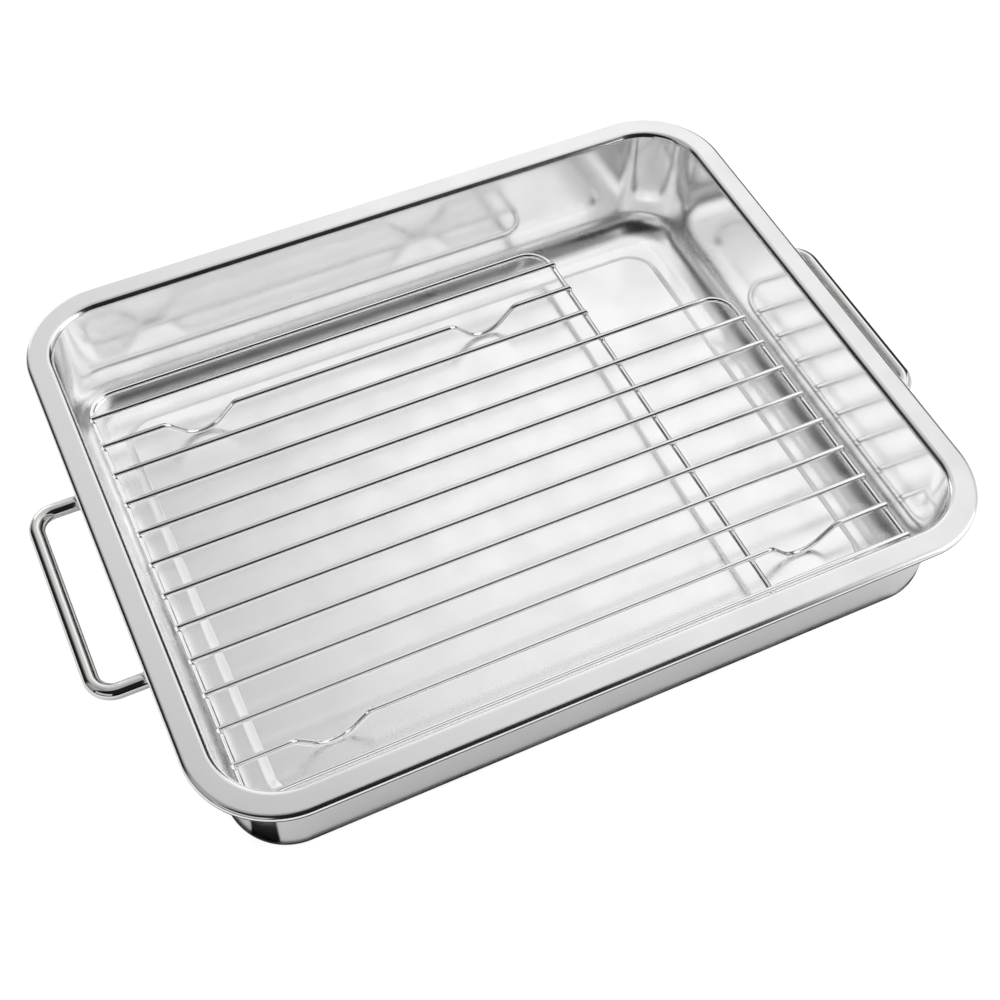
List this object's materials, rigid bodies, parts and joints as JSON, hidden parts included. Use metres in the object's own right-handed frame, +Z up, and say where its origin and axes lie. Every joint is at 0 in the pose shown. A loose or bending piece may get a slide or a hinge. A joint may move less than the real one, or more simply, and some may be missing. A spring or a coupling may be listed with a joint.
{
  "type": "roasting pan with rack",
  "caption": "Rectangular polished steel roasting pan with a flat rim, fixed rod handles on both ends and a loose stepped wire rack on bent feet.",
  "frame": {"origin": "centre of the footprint on the table, under the middle of the pan", "axes": "+X along the pan towards the right handle, +Y towards the back, +Z up"},
  "size_m": [0.4578, 0.328, 0.073],
  "materials": {
    "pan_steel": "polished stainless steel, satin on the rim",
    "handle_steel": "mirror-polished stainless rod",
    "pad_steel": "plain stainless steel",
    "rack_wire": "bright polished wire"
  },
  "bodies": {
    "pan": {"pan_body": "pan_steel", "left_handle": "handle_steel", "right_handle": "handle_steel", "handle_pad_left_back": "pad_steel", "handle_pad_left_front": "pad_steel", "handle_pad_right_back": "pad_steel", "handle_pad_right_front": "pad_steel"},
    "rack": {"rack_frame": "rack_wire", "rack_bar_01": "rack_wire", "rack_bar_02": "rack_wire", "rack_bar_03": "rack_wire", "rack_bar_05": "rack_wire", "rack_bar_06": "rack_wire", "rack_bar_07": "rack_wire", "rack_bar_08": "rack_wire", "rack_bar_09": "rack_wire", "rack_bar_10": "rack_wire", "rack_bar_11": "rack_wire", "rack_bar_12": "rack_wire", "rack_bar_13": "rack_wire"}
  },
  "joints": [
    {"name": "rack_lift", "type": "slide", "parent": "pan", "child": "rack", "axis": [0, 0, 1], "range_m": [0, 0.12]}
  ]
}
